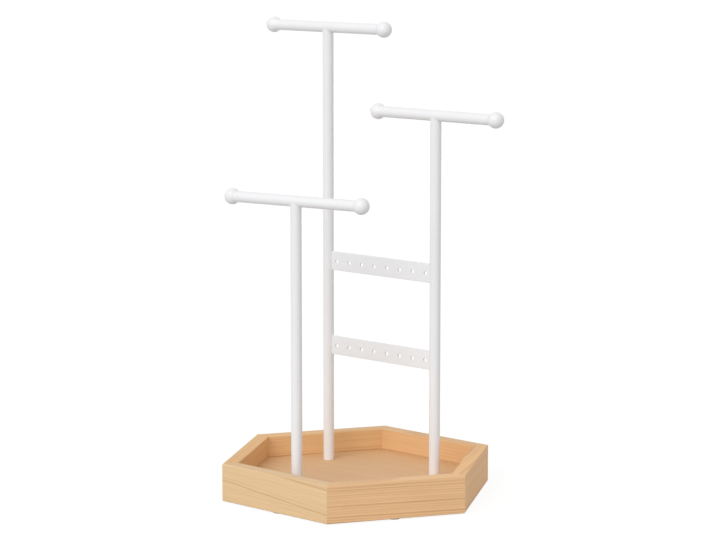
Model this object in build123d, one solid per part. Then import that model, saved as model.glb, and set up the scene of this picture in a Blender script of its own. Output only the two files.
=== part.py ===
from build123d import *
import os
from math import atan2, cos, degrees, radians, sin, sqrt, tan

# Jewellery stand: a hexagonal wooden tray that carries three round steel posts of
# different height. Each post ends in a crossbar with a ball knob at either end, and two
# perforated earring strips join the tall and the middle post.
#
# Millimetres, +Z up. The origin lies on the table under the centre of the tray. The front
# rail of the tray, the crossbars and the strips run along X, and the front looks to -Y.

# ---- Driving dimensions -------------------------------------------------------------

# Tray wall: six mitred rails
tray_across_corners = 232.0
tray_height = 32.0            # table to rim
rail_thickness = 12.0
rail_top_round = 0.9          # eased long edges of the rim
rail_foot_chamfer = 0.6       # eased lower outer edge

# Tray floor, held in a groove that runs round the inside of the wall
floor_top = 14.0              # upper face, above the table
floor_thickness = 8.0
groove_depth = 6.0
groove_play = 0.2             # gap above the floor in its groove
floor_edge_play = 0.5         # gap between the floor's edge and the groove's bottom

# Pads glued under the middle of each rail
pad_diameter = 9.0
pad_thickness = 1.0

# Posts, on an equilateral triangle a little in front of the tray's centre
post_diameter = 9.0
post_wall = 1.0
post_spacing = 118.0          # axis to axis
posts_forward = 5.0           # from the tray's centre to the triangle's
tall_post_angle = 150.0       # degrees from +X, seen from above
middle_post_angle = 30.0
short_post_angle = 270.0
socket_depth = 3.0            # how far a post stands in the floor

# Crossbars, welded across the tops of the posts
bar_diameter = 9.0
bar_wall = 1.0
bar_span = 124.0              # between the centres of the two balls
tall_bar_height = 382.0       # axis of the bar, above the table
middle_bar_height = 315.0
short_bar_height = 250.0
short_bar_turn_angle = 9.0    # degrees that the lone front post stands turned
weld_fillet = 1.3             # radius of the weld between a post and its bar

# Ball knobs
ball_diameter = 13.2
neck_radius = 3.2             # hollow curve between the bar and the ball
collar_length = 0.8
spigot_length = 9.0
spigot_end_chamfer = 0.5

# Earring strips, let into slots in the tall and the middle post
strip_height = 16.0
strip_thickness = 1.5
strip_edge_round = 0.4
upper_strip_top = 194.0
lower_strip_top = 122.0
strip_entry = 2.0             # how far a strip reaches into a post
strip_hole_diameter = 3.5
strip_hole_pitch = 14.0
strip_hole_count = 8
strip_hole_drop = 8.5         # hole centres below the strip's top edge

# Fixing of the posts: a threaded plug in the tube, a screw and a washer under the floor
plug_length = 15.0
screw_diameter = 5.0
screw_length = 16.0           # under the head
screw_head_diameter = 9.0
screw_head_height = 2.6
screw_head_round = 1.6
screw_socket_across_flats = 3.0
screw_socket_depth = 1.5
screw_tip_room = 2.0          # bore beyond the screw's end
washer_diameter = 15.0
washer_thickness = 1.2
washer_play = 0.3             # round the screw, on the diameter

# Fits
fit_play = 0.05               # on the radius, between a plug, spigot or strip and its seat
screw_play = 0.5              # on the diameter, hole through the floor

# ---- Sizes that follow --------------------------------------------------------------

corner_radius = tray_across_corners / 2
apothem = corner_radius * cos(radians(30))
rail_foot = pad_thickness
floor_bottom = floor_top - floor_thickness
post_foot = floor_top - socket_depth
post_circle_radius = post_spacing / sqrt(3)
post_bore = post_diameter - 2 * post_wall
bar_bore = bar_diameter - 2 * bar_wall
screw_top = floor_bottom - washer_thickness + screw_length

rail_names = ["front", "front_right", "rear_right", "rear", "rear_left", "front_left"]

# name, direction of the post from the middle of the three, bar height, turn about the post
posts = [
    ("tall", tall_post_angle, tall_bar_height, 0.0),
    ("middle", middle_post_angle, middle_bar_height, 0.0),
    ("short", short_post_angle, short_bar_height, short_bar_turn_angle),
]


def post_place(direction):
    """Where a post's axis meets the table."""
    return (
        post_circle_radius * cos(radians(direction)),
        post_circle_radius * sin(radians(direction)) - posts_forward,
    )


def upright_cylinder(radius, bottom, top):
    """A vertical cylinder on the Z axis between two heights."""
    return Pos(0, 0, bottom) * Cylinder(
        radius, top - bottom, align=(Align.CENTER, Align.CENTER, Align.MIN)
    )


# ---- Tray ---------------------------------------------------------------------------

def front_rail():
    """The front rail: a grooved section run along X, mitred at both ends."""
    middle = -apothem + rail_thickness / 2
    inner_face = -apothem + rail_thickness
    rail_height = tray_height - rail_foot
    section = Pos(middle, rail_foot + rail_height / 2) * Rectangle(rail_thickness, rail_height)
    section = fillet(section.vertices().group_by(Axis.Y)[-1], rail_top_round)
    lower_outer = section.vertices().group_by(Axis.Y)[0].sort_by(Axis.X)[0]
    section = chamfer(lower_outer, rail_foot_chamfer)
    groove = Pos(inner_face, floor_bottom) * Rectangle(
        2 * groove_depth, floor_thickness + groove_play, align=(Align.CENTER, Align.MIN)
    )
    section = Plane.YZ * (section - groove)
    bar = extrude(section, corner_radius, both=True)
    # The wedge between the two mitre planes, which meet on the tray's axis
    wedge_depth = 2 * apothem
    half_width = wedge_depth * tan(radians(30))
    wedge = make_face(Polyline(
        (0, 0), (-half_width, -wedge_depth), (half_width, -wedge_depth), close=True
    ))
    return bar & extrude(wedge, tray_height)


def tray_floor():
    """The floor board, with a socket and a screw hole under each post."""
    half_across = apothem - rail_thickness + groove_depth - floor_edge_play
    hexagon = RegularPolygon(half_across, 6, major_radius=False)
    board = Pos(0, 0, floor_bottom) * extrude(hexagon, floor_thickness)
    for _, direction, _, _ in posts:
        x, y = post_place(direction)
        socket = upright_cylinder(post_diameter / 2 + fit_play, post_foot, floor_top)
        hole = upright_cylinder((screw_diameter + screw_play) / 2, floor_bottom, post_foot)
        board -= Pos(x, y) * (socket + hole)
    return board


def foot_pad():
    """The pad under the front rail."""
    return Pos(0, -apothem + rail_thickness / 2) * upright_cylinder(
        pad_diameter / 2, 0, pad_thickness
    )


# ---- Posts, crossbars and knobs -----------------------------------------------------

def crossbar():
    """A crossbar's tube on the X axis, between the collars of its two knobs."""
    length = bar_span - 2 * (neck_reach() + collar_length)
    tube = Cylinder(bar_diameter / 2, length) - Cylinder(bar_bore / 2, length)
    return Rot(0, 90, 0) * tube


def neck_reach():
    """From the centre of the ball to where its neck has come down to the bar's diameter."""
    centre_distance = ball_diameter / 2 + neck_radius
    centre_height = bar_diameter / 2 + neck_radius
    return sqrt(centre_distance**2 - centre_height**2)


def ball_knob():
    """A knob about its ball's centre: the ball to +X, its neck and spigot to -X."""
    ball_radius = ball_diameter / 2
    bar_radius = bar_diameter / 2
    reach = neck_reach()
    # Ball and neck touch on the line between their centres, at this angle above the bar
    tangent_angle = degrees(atan2(bar_radius + neck_radius, reach))
    ball_arc = CenterArc((0, 0), ball_radius, 0, 180 - tangent_angle)
    neck_arc = CenterArc((-reach, bar_radius + neck_radius), neck_radius, -90, 90 - tangent_angle)
    collar_end = -reach - collar_length
    spigot_radius = bar_bore / 2 - fit_play
    spigot_end = collar_end - spigot_length
    rest_of_outline = Polyline(
        (-reach, bar_radius),
        (collar_end, bar_radius),
        (collar_end, spigot_radius),
        (spigot_end + spigot_end_chamfer, spigot_radius),
        (spigot_end, spigot_radius - spigot_end_chamfer),
        (spigot_end, 0),
        (ball_radius, 0),
    )
    outline = ball_arc + neck_arc + rest_of_outline
    return revolve(make_face(outline.edges()), Axis.X)


def post(name, bar_height):
    """A post on the Z axis: a tube, saddle-cut to its bar, with the weld's fillet round the
    top, and slots for the strips."""
    rod = upright_cylinder(post_diameter / 2, post_foot, bar_height)
    bar = Pos(0, 0, bar_height) * Rot(0, 90, 0) * Cylinder(bar_diameter / 2, 4 * post_diameter)
    joined = rod + bar
    weld_line = new_edges(rod, bar, combined=joined)
    tube = fillet(weld_line, weld_fillet) - bar
    tube -= upright_cylinder(post_bore / 2, post_foot, bar_height)
    if name == "short":
        return tube
    side = 1 if name == "tall" else -1
    for strip_top in (upper_strip_top, lower_strip_top):
        slot = Box(post_diameter, strip_thickness + 2 * fit_play, strip_height + 2 * fit_play)
        tube -= Pos(side * post_diameter / 2, 0, strip_top - strip_height / 2) * slot
    return tube


def post_plug():
    """The threaded plug in the lower end of a post, on the Z axis."""
    body = upright_cylinder(post_bore / 2 - fit_play, post_foot, post_foot + plug_length)
    body = chamfer(body.edges().group_by(Axis.Z)[-1], spigot_end_chamfer)
    bore = upright_cylinder(screw_diameter / 2 + fit_play, post_foot, screw_top + screw_tip_room)
    return body - bore


def earring_strip(top):
    """A strip between the tall and the middle post, with one row of holes."""
    length = post_spacing - post_diameter + 2 * strip_entry
    plate = Box(length, strip_thickness, strip_height)
    plate = fillet(plate.edges().filter_by(Axis.X), strip_edge_round)
    row = GridLocations(strip_hole_pitch, 0, strip_hole_count, 1)
    drill = Rot(90, 0, 0) * Cylinder(strip_hole_diameter / 2, 2 * strip_thickness)
    for place in row.locations:
        plate -= Pos(place.position.X, 0, strip_height / 2 - strip_hole_drop) * drill
    strip_y = post_place(middle_post_angle)[1]
    return Pos(0, strip_y, top - strip_height / 2) * plate


# ---- Fixings ------------------------------------------------------------------------

def floor_screw():
    """A button-head screw from beneath the floor, on the Z axis."""
    head_top = floor_bottom - washer_thickness
    head = upright_cylinder(screw_head_diameter / 2, head_top - screw_head_height, head_top)
    head = fillet(head.edges().group_by(Axis.Z)[0], screw_head_round)
    key = extrude(
        RegularPolygon(screw_socket_across_flats / 2, 6, major_radius=False), screw_socket_depth
    )
    head -= Pos(0, 0, head_top - screw_head_height) * key
    return head + upright_cylinder(screw_diameter / 2, head_top, screw_top)


def floor_washer():
    """The washer between a screw's head and the floor, on the Z axis."""
    bottom = floor_bottom - washer_thickness
    ring = upright_cylinder(washer_diameter / 2, bottom, floor_bottom)
    return ring - upright_cylinder((screw_diameter + washer_play) / 2, bottom, floor_bottom)


# ---- Assembly -----------------------------------------------------------------------

def assemble():
    """Every piece in its place, by name."""
    pieces = {}
    rail = front_rail()
    pad = foot_pad()
    for turn, name in enumerate(rail_names):
        pieces[f"tray_rail_{name}"] = Rot(0, 0, 60 * turn) * rail
        pieces[f"foot_pad_{name}"] = Rot(0, 0, 60 * turn) * pad
    pieces["tray_floor"] = tray_floor()

    screws, washers = [], []
    for name, direction, bar_height, turn in posts:
        place = Pos(*post_place(direction)) * Rot(0, 0, turn)
        pieces[f"{name}_post"] = place * post(name, bar_height)
        pieces[f"{name}_post_plug"] = place * post_plug()
        at_bar = place * Pos(0, 0, bar_height)
        pieces[f"{name}_crossbar"] = at_bar * crossbar()
        right_knob = Pos(bar_span / 2, 0, 0) * ball_knob()
        pieces[f"{name}_knob_right"] = at_bar * right_knob
        pieces[f"{name}_knob_left"] = at_bar * Rot(0, 0, 180) * right_knob
        screws.append(place * floor_screw())
        washers.append(place * floor_washer())

    pieces["earring_strip_upper"] = earring_strip(upper_strip_top)
    pieces["earring_strip_lower"] = earring_strip(lower_strip_top)
    pieces["floor_screws"] = Compound(children=screws)
    pieces["floor_washers"] = Compound(children=washers)
    return pieces


os.makedirs("parts", exist_ok=True)
for piece_name, piece in assemble().items():
    export_step(piece, f"parts/{piece_name}.step")
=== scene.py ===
from collections import namedtuple
from math import cos, radians, sin

import bpy
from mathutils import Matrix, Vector

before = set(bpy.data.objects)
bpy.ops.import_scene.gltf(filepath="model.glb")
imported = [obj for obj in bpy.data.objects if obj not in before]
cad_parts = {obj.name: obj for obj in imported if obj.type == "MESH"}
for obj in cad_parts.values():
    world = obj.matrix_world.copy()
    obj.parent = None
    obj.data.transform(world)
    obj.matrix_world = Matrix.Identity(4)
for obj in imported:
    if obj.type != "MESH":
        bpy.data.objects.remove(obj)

# The jewellery stand: finishes for its wood, its white powder coat, its zinc-plated screws
# and its rubber pads, with a camera, a floor and soft studio light. Metres, +Z up.

# ---- Camera: the photograph's viewpoint ---------------------------------------------

IMAGE_WIDTH = 716                 # pixels
FOCAL_LENGTH_PIXELS = 2522.7
SENSOR_WIDTH = 36.0               # millimetres, as the lens
CAMERA_TURN = radians(41.97)      # the view turned left from +Y
CAMERA_TILT = radians(8.59)       # looking down
CAMERA_BACK = 2.0469              # from the stand's middle, along the floor
CAMERA_HEIGHT = 0.4957
CAMERA_ASIDE = 0.0005             # to the camera's right
CAMERA_NEAR = 0.1                 # nothing closer is drawn

# ---- Light --------------------------------------------------------------------------

STUDIO_LEVEL = 0.62               # light from all round
KEY_DIRECTION = radians(-78)      # towards the key light, from +X, seen from above
KEY_HEIGHT = radians(33)
KEY_STRENGTH = 1.55
KEY_SOFTNESS = radians(50)

# ---- Floor --------------------------------------------------------------------------

FLOOR_RADIUS = 14.0
FLOOR_GLOW = 0.885                # shown to the camera; the rest of its white is lit
FLOOR_LIT = 0.15                  # the part of its white that a shadow takes away
FLOOR_BOUNCE = 0.60               # its colour for the light that it throws back

# ---- Edges --------------------------------------------------------------------------

WELD_DISTANCE = 1e-6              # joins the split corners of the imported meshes
SMOOTH_ANGLE = radians(32)        # flatter edges than this are shaded smooth
WOOD_EDGE = 0.00025               # eased edges of the rails
FINE_EDGE = 0.00012               # those of the strips, screws, washers and pads


def srgb(red, green, blue):
    """A colour given in 0 to 255 as a linear one."""
    def linear(level):
        level /= 255
        return level / 12.92 if level <= 0.04045 else ((level + 0.055) / 1.055) ** 2.4
    return (linear(red), linear(green), linear(blue), 1.0)


class Nodes:
    """The node tree of a material or a world, with short calls to add nodes and link them."""

    def __init__(self, owner):
        owner.use_nodes = True
        self.owner = owner
        self.tree = owner.node_tree
        self.tree.nodes.clear()

    def add(self, kind, inputs=None, **settings):
        """Adds a node. An input is a value, or a socket of another node."""
        made = self.tree.nodes.new("ShaderNode" + kind)
        for key, value in settings.items():
            setattr(made, key, value)
        for key, value in (inputs or {}).items():
            if isinstance(value, bpy.types.NodeSocket):
                self.tree.links.new(value, made.inputs[key])
            else:
                made.inputs[key].default_value = value
        return made

    def math(self, operation, first, second=0.0):
        return self.add("Math", {0: first, 1: second}, operation=operation).outputs[0]

    def vector(self, operation, first, second):
        made = self.add("VectorMath", {0: first, 1: second}, operation=operation)
        return made.outputs["Vector"]

    def scaled(self, vector, factor):
        made = self.add("VectorMath", {0: vector, "Scale": factor}, operation="SCALE")
        return made.outputs["Vector"]

    def noise(self, vector, scale=1.0, detail=2.0, roughness=0.5, output="Fac"):
        made = self.add(
            "TexNoise",
            {"Vector": vector, "Scale": scale, "Detail": detail, "Roughness": roughness},
        )
        return made.outputs[output]

    def span(self, value, low, high):
        """Maps a value of 0 to 1 to low to high."""
        made = self.add("MapRange", {"Value": value, "To Min": low, "To Max": high})
        return made.outputs["Result"]

    def mix(self, factor, first, second):
        """Mixes two colours. The node's colour inputs are numbers 6 and 7."""
        made = self.add("Mix", {0: factor}, data_type="RGBA")
        made.inputs[6].default_value = first
        made.inputs[7].default_value = second
        return made.outputs[2]

    def bump(self, height, distance, normal=None):
        inputs = {"Height": height, "Distance": distance}
        if normal is not None:
            inputs["Normal"] = normal
        return self.add("Bump", inputs).outputs["Normal"]

    def finish(self, inputs):
        """Closes a material's tree with a Principled shader and returns the material."""
        surface = self.add("BsdfPrincipled", inputs)
        self.add("OutputMaterial", {"Surface": surface.outputs[0]})
        return self.owner


# ---- Materials ----------------------------------------------------------------------

WOOD_DARK = srgb(176, 120, 70)    # the dark lines of the growth rings
RING_WANDER = 0.008               # how far the rings stray from round
YEARS_PER_METRE = 260.0           # how often wide and narrow rings take turns

# turn, in degrees, lays the grain along the board. heart is where the tree's middle lay,
# across the board's section. slope is how fast the rings drop along the board. faint and
# strong are for the rings' dark lines, and pale is the colour between them.
Board = namedtuple("Board", "turn heart slope ring_width faint strong pale")


def growth_rings(wood, along, board, shift):
    """The dark lines of a board's growth rings, 0 to 1."""
    stretched = wood.vector("MULTIPLY", along, (4.0, 12.0, 12.0))
    stretched = wood.vector("ADD", stretched, (shift, shift, shift))
    wander = wood.noise(stretched, detail=1.5, output="Color")
    wander = wood.scaled(wood.vector("SUBTRACT", wander, (0.5, 0.5, 0.5)), RING_WANDER)
    bent = wood.add("SeparateXYZ", {"Vector": wood.vector("ADD", along, wander)}).outputs
    drop = wood.math("MULTIPLY", bent["X"], board.slope)
    across = wood.math("SUBTRACT", bent["Y"], board.heart[0])
    upward = wood.math("SUBTRACT", wood.math("ADD", bent["Z"], drop), board.heart[1])
    section = wood.add("CombineXYZ", {"Y": across, "Z": upward}).outputs[0]
    radius = wood.add("VectorMath", {0: section}, operation="LENGTH").outputs["Value"]

    # Wide and narrow years, and years with a strong or a weak line
    spacing = {"W": radius, "Scale": YEARS_PER_METRE, "Detail": 1.0}
    years = wood.add("TexNoise", spacing, noise_dimensions="1D").outputs["Fac"]
    rings = wood.math("ADD", wood.math("DIVIDE", radius, board.ring_width), years)
    year = wood.math("ADD", wood.math("FLOOR", rings), shift)
    chance = wood.add("TexWhiteNoise", {"W": year}, noise_dimensions="1D").outputs["Value"]
    strength = wood.span(wood.math("POWER", chance, 2.5), board.faint, board.strong)

    # Each ring darkens slowly and ends at its dark line
    profile = wood.add("ValToRGB", {"Fac": wood.math("FRACT", rings)})
    profile.color_ramp.interpolation = "B_SPLINE"
    marks = profile.color_ramp.elements
    marks[0].color = (0, 0, 0, 1)
    marks[1].color = (0, 0, 0, 1)
    for position, level in ((0.50, 0.12), (0.80, 1.0), (0.92, 0.8)):
        marks.new(position).color = (level, level, level, 1)
    return wood.math("MULTIPLY", profile.outputs["Color"], strength)


def pine(name, board, shift):
    """Lacquered pine for one board. shift picks another stretch of wood."""
    wood = Nodes(bpy.data.materials.new(name))
    place = wood.add("TexCoord").outputs["Object"]
    unturned = {"Vector": place, "Rotation": (0, 0, -radians(board.turn))}
    along = wood.add("Mapping", unturned).outputs[0]
    rings = growth_rings(wood, along, board, shift)

    # The lines fade in and out along the board, between fine fibres and broad clouds. The
    # noise is long along the board and narrow across it.
    moved = wood.vector("ADD", along, (shift, shift, 0))
    patches = wood.noise(wood.vector("MULTIPLY", moved, (12.0, 45.0, 45.0)))
    lines = wood.math("MULTIPLY", rings, wood.span(patches, 0.2, 1.2))
    fibres = wood.noise(
        wood.vector("MULTIPLY", moved, (30.0, 1500.0, 1500.0)), detail=3.0, roughness=0.6
    )
    streaks = wood.noise(wood.vector("MULTIPLY", moved, (7.0, 450.0, 450.0)))
    clouds = wood.noise(wood.vector("MULTIPLY", moved, (9.0, 30.0, 30.0)))

    shade = wood.math("ADD", wood.span(fibres, -0.09, 0.09), wood.span(streaks, 0.91, 1.09))
    shade = wood.math("ADD", shade, wood.span(clouds, -0.05, 0.05))
    relief = wood.math("ADD", fibres, wood.math("MULTIPLY", lines, 0.5))
    return wood.finish({
        "Base Color": wood.scaled(wood.mix(lines, board.pale, WOOD_DARK), shade),
        "Roughness": wood.span(fibres, 0.48, 0.64),
        "Normal": wood.bump(relief, 0.00004),
        "Specular IOR Level": 0.32,
    })


def powder_coat():
    """Semi-gloss white powder coat, with its fine orange peel."""
    coat = Nodes(bpy.data.materials.new("white_powder_coat"))
    place = coat.add("TexCoord").outputs["Object"]
    peel = coat.noise(place, 620.0)
    grit = coat.noise(place, 2600.0)
    tone = coat.noise(place, 35.0, detail=3.0)
    relief = coat.bump(peel, 0.00005)
    return coat.finish({
        "Base Color": coat.mix(tone, srgb(235, 235, 237), srgb(239, 239, 240)),
        "Roughness": coat.span(tone, 0.34, 0.44),
        "Normal": coat.bump(grit, 0.00001, relief),
        "IOR": 1.5,
    })


def zinc_steel():
    """Bright zinc plate, with faint blotches and fine scratches."""
    steel = Nodes(bpy.data.materials.new("zinc_steel"))
    place = steel.add("TexCoord").outputs["Object"]
    blotches = steel.noise(place, 240.0, detail=4.0)
    scratches = steel.noise(steel.vector("MULTIPLY", place, (300.0, 5200.0, 900.0)))
    return steel.finish({
        "Base Color": steel.mix(blotches, srgb(186, 189, 194), srgb(212, 213, 214)),
        "Metallic": 1.0,
        "Roughness": steel.span(blotches, 0.26, 0.42),
        "Normal": steel.bump(scratches, 0.00001),
    })


def silicone_rubber():
    """Pale matt pads, milky and slightly grained."""
    rubber = Nodes(bpy.data.materials.new("silicone_rubber"))
    place = rubber.add("TexCoord").outputs["Object"]
    tone = rubber.noise(place, 420.0, detail=3.0)
    return rubber.finish({
        "Base Color": rubber.mix(tone, srgb(222, 213, 198), srgb(236, 229, 216)),
        "Roughness": rubber.span(tone, 0.55, 0.75),
        "Normal": rubber.bump(rubber.noise(place, 2400.0), 0.00003),
    })


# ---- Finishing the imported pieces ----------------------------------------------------

def edge_group():
    """A modifier's node group: joins split corners and marks the sharp edges again."""
    group = bpy.data.node_groups.new("clean_edges", "GeometryNodeTree")
    group.interface.new_socket("Geometry", in_out="INPUT", socket_type="NodeSocketGeometry")
    group.interface.new_socket("Geometry", in_out="OUTPUT", socket_type="NodeSocketGeometry")
    start = group.nodes.new("NodeGroupInput")
    end = group.nodes.new("NodeGroupOutput")
    merge = group.nodes.new("GeometryNodeMergeByDistance")
    merge.inputs["Distance"].default_value = WELD_DISTANCE
    angle = group.nodes.new("GeometryNodeInputMeshEdgeAngle")
    sharp = group.nodes.new("FunctionNodeCompare")
    sharp.data_type = "FLOAT"
    sharp.operation = "GREATER_THAN"
    sharp.inputs["B"].default_value = SMOOTH_ANGLE
    normal = group.nodes.new("GeometryNodeSetMeshNormal")
    normal.mode = "SHARPNESS"
    link = group.links.new
    link(start.outputs[0], merge.inputs["Geometry"])
    link(angle.outputs["Unsigned Angle"], sharp.inputs["A"])
    link(merge.outputs["Geometry"], normal.inputs["Mesh"])
    link(sharp.outputs["Result"], normal.inputs["Edge Sharpness"])
    link(normal.outputs["Mesh"], end.inputs[0])
    return group


def dress(node, material, edge=None):
    """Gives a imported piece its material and, where edge is given, eased edges."""
    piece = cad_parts[node]
    piece.data.materials.clear()
    piece.data.materials.append(material)
    piece.modifiers.new("clean_edges", "NODES").node_group = clean_edges
    if edge:
        bevel = piece.modifiers.new("eased_edges", "BEVEL")
        bevel.width = edge
        bevel.segments = 2
        bevel.limit_method = "ANGLE"
        bevel.angle_limit = SMOOTH_ANGLE
        bevel.harden_normals = True


# ---- Floor, light and camera --------------------------------------------------------

def seen_directly(nodes):
    """1 for what the camera sees, also by reflection or through glass, and 0 elsewhere."""
    path = nodes.add("LightPath").outputs
    seen = nodes.math("MAXIMUM", path["Is Camera Ray"], path["Is Glossy Ray"])
    return nodes.math("MAXIMUM", seen, path["Is Transmission Ray"])


def make_floor():
    """A pale round floor that shows white and keeps the stand's shadow."""
    bpy.ops.mesh.primitive_circle_add(vertices=96, radius=FLOOR_RADIUS, fill_type="NGON")
    floor = bpy.context.object
    floor.name = "studio_floor"
    paint = Nodes(bpy.data.materials.new("studio_floor"))
    lit = paint.add("BsdfDiffuse", {"Color": (FLOOR_LIT, FLOOR_LIT, FLOOR_LIT, 1)})
    glow = paint.add("Emission", {"Color": (1, 1, 1, 1), "Strength": FLOOR_GLOW})
    shown = paint.add("AddShader", {0: lit.outputs[0], 1: glow.outputs[0]})
    bounce = (FLOOR_BOUNCE, FLOOR_BOUNCE, FLOOR_BOUNCE, 1)
    other = paint.add("BsdfDiffuse", {"Color": bounce})
    surface = paint.add(
        "MixShader", {0: seen_directly(paint), 1: other.outputs[0], 2: shown.outputs[0]}
    )
    paint.add("OutputMaterial", {"Surface": surface.outputs[0]})
    floor.data.materials.append(paint.owner)


def make_world():
    """Even light from all round, under a backdrop that shows white."""
    sky = Nodes(bpy.data.worlds.new("studio"))
    light = sky.add("Background", {"Color": (1, 1, 1, 1), "Strength": STUDIO_LEVEL})
    backdrop = sky.add("Background", {"Color": (1, 1, 1, 1), "Strength": 1.0})
    surface = sky.add(
        "MixShader", {0: seen_directly(sky), 1: light.outputs[0], 2: backdrop.outputs[0]}
    )
    sky.add("OutputWorld", {"Surface": surface.outputs[0]})
    bpy.context.scene.world = sky.owner


def make_key():
    """The soft key light, from the front and the photograph's left."""
    lamp = bpy.data.lights.new("key", "SUN")
    lamp.energy = KEY_STRENGTH
    lamp.angle = KEY_SOFTNESS
    key = bpy.data.objects.new("key", lamp)
    bpy.context.scene.collection.objects.link(key)
    towards = Vector((
        cos(KEY_HEIGHT) * cos(KEY_DIRECTION),
        cos(KEY_HEIGHT) * sin(KEY_DIRECTION),
        sin(KEY_HEIGHT),
    ))
    key.rotation_euler = towards.to_track_quat("Z", "Y").to_euler()


def make_camera():
    """The photograph's viewpoint."""
    lens = bpy.data.cameras.new("camera")
    lens.sensor_width = SENSOR_WIDTH
    lens.lens = FOCAL_LENGTH_PIXELS * SENSOR_WIDTH / IMAGE_WIDTH
    lens.clip_start, lens.clip_end = CAMERA_NEAR, 4 * FLOOR_RADIUS
    camera = bpy.data.objects.new("camera", lens)
    bpy.context.scene.collection.objects.link(camera)
    to_right = Vector((cos(CAMERA_TURN), sin(CAMERA_TURN), 0))
    forward = Vector((-sin(CAMERA_TURN), cos(CAMERA_TURN), 0))
    camera.location = (
        to_right * CAMERA_ASIDE - forward * CAMERA_BACK + Vector((0, 0, CAMERA_HEIGHT))
    )
    camera.rotation_euler = (radians(90) - CAMERA_TILT, 0, CAMERA_TURN)
    bpy.context.scene.camera = camera


# ---- The stand ----------------------------------------------------------------------

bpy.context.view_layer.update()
clean_edges = edge_group()

bpy.context.scene.view_settings.view_transform = "Standard"
make_camera()
make_world()
make_key()
make_floor()

# The rear_right board's pale colour is partly its own tone and partly painted light: it is
# made paler to brighten a face that the key light misses.
rails = {
    "front": Board(0, (-0.040, 0.063), 0.09, 0.0018, 0.08, 0.9, srgb(227, 194, 150)),
    "front_right": Board(60, (-0.095, -0.120), 0.01, 0.0021, 0.30, 0.8, srgb(236, 193, 145)),
    "rear_right": Board(120, (-0.130, -0.100), 0.02, 0.0018, 0.20, 0.8, srgb(241, 192, 137)),
    "rear": Board(180, (-0.100, -0.140), 0.01, 0.0019, 0.12, 0.5, srgb(231, 188, 138)),
    "rear_left": Board(240, (-0.060, 0.120), 0.02, 0.0017, 0.15, 0.7, srgb(231, 189, 137)),
    "front_left": Board(300, (-0.140, 0.090), -0.02, 0.0018, 0.15, 0.7, srgb(230, 184, 128)),
}
rubber = silicone_rubber()
for shift, (rail, board) in enumerate(rails.items()):
    dress(f"tray_rail_{rail}", pine(f"pine_{rail}", board, 0.7 * shift), WOOD_EDGE)
    dress(f"foot_pad_{rail}", rubber, FINE_EDGE)
floor_board = Board(0, (0.180, -0.060), 0.02, 0.0022, 0.10, 0.5, srgb(224, 181, 135))
dress("tray_floor", pine("pine_floor", floor_board, 4.2))

white = powder_coat()
for tier in ("tall", "middle", "short"):
    for piece in ("post", "crossbar", "knob_right", "knob_left"):
        dress(f"{tier}_{piece}", white)
dress("earring_strip_upper", white, FINE_EDGE)
dress("earring_strip_lower", white, FINE_EDGE)

steel = zinc_steel()
for tier in ("tall", "middle", "short"):
    dress(f"{tier}_post_plug", steel)
dress("floor_screws", steel, FINE_EDGE)
dress("floor_washers", steel, FINE_EDGE)
